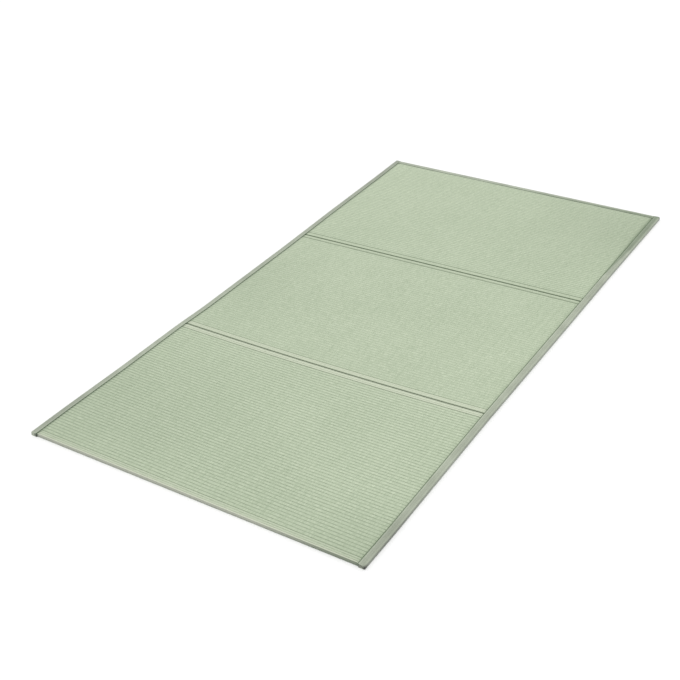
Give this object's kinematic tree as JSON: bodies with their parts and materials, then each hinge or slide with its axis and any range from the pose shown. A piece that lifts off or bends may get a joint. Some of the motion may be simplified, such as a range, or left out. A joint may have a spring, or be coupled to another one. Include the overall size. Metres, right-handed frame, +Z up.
{
  "type": "folding tatami mat",
  "caption": "Thin flat floor mat of ribbed woven rush in panels joined at folds, with cloth bindings round both long sides and one end, lying open.",
  "frame": {"origin": "centre of the overall box on the floor plane, under the middle of the mat", "axes": "+Y along the mat from the turned near end to the bound far end, +X across it to the right seen from the near end, +Z up"},
  "size_m": [1.0118, 1.9098, 0.012],
  "materials": {
    "rush_cover": "woven rush, satin",
    "binding_cloth": "plain woven cloth, soft sheen"
  },
  "bodies": {
    "root": {"panel_near": "rush_cover", "panel_middle": "rush_cover", "panel_far": "rush_cover", "binding_left": "binding_cloth", "binding_right": "binding_cloth", "binding_far_end": "binding_cloth"}
  },
  "joints": []
}
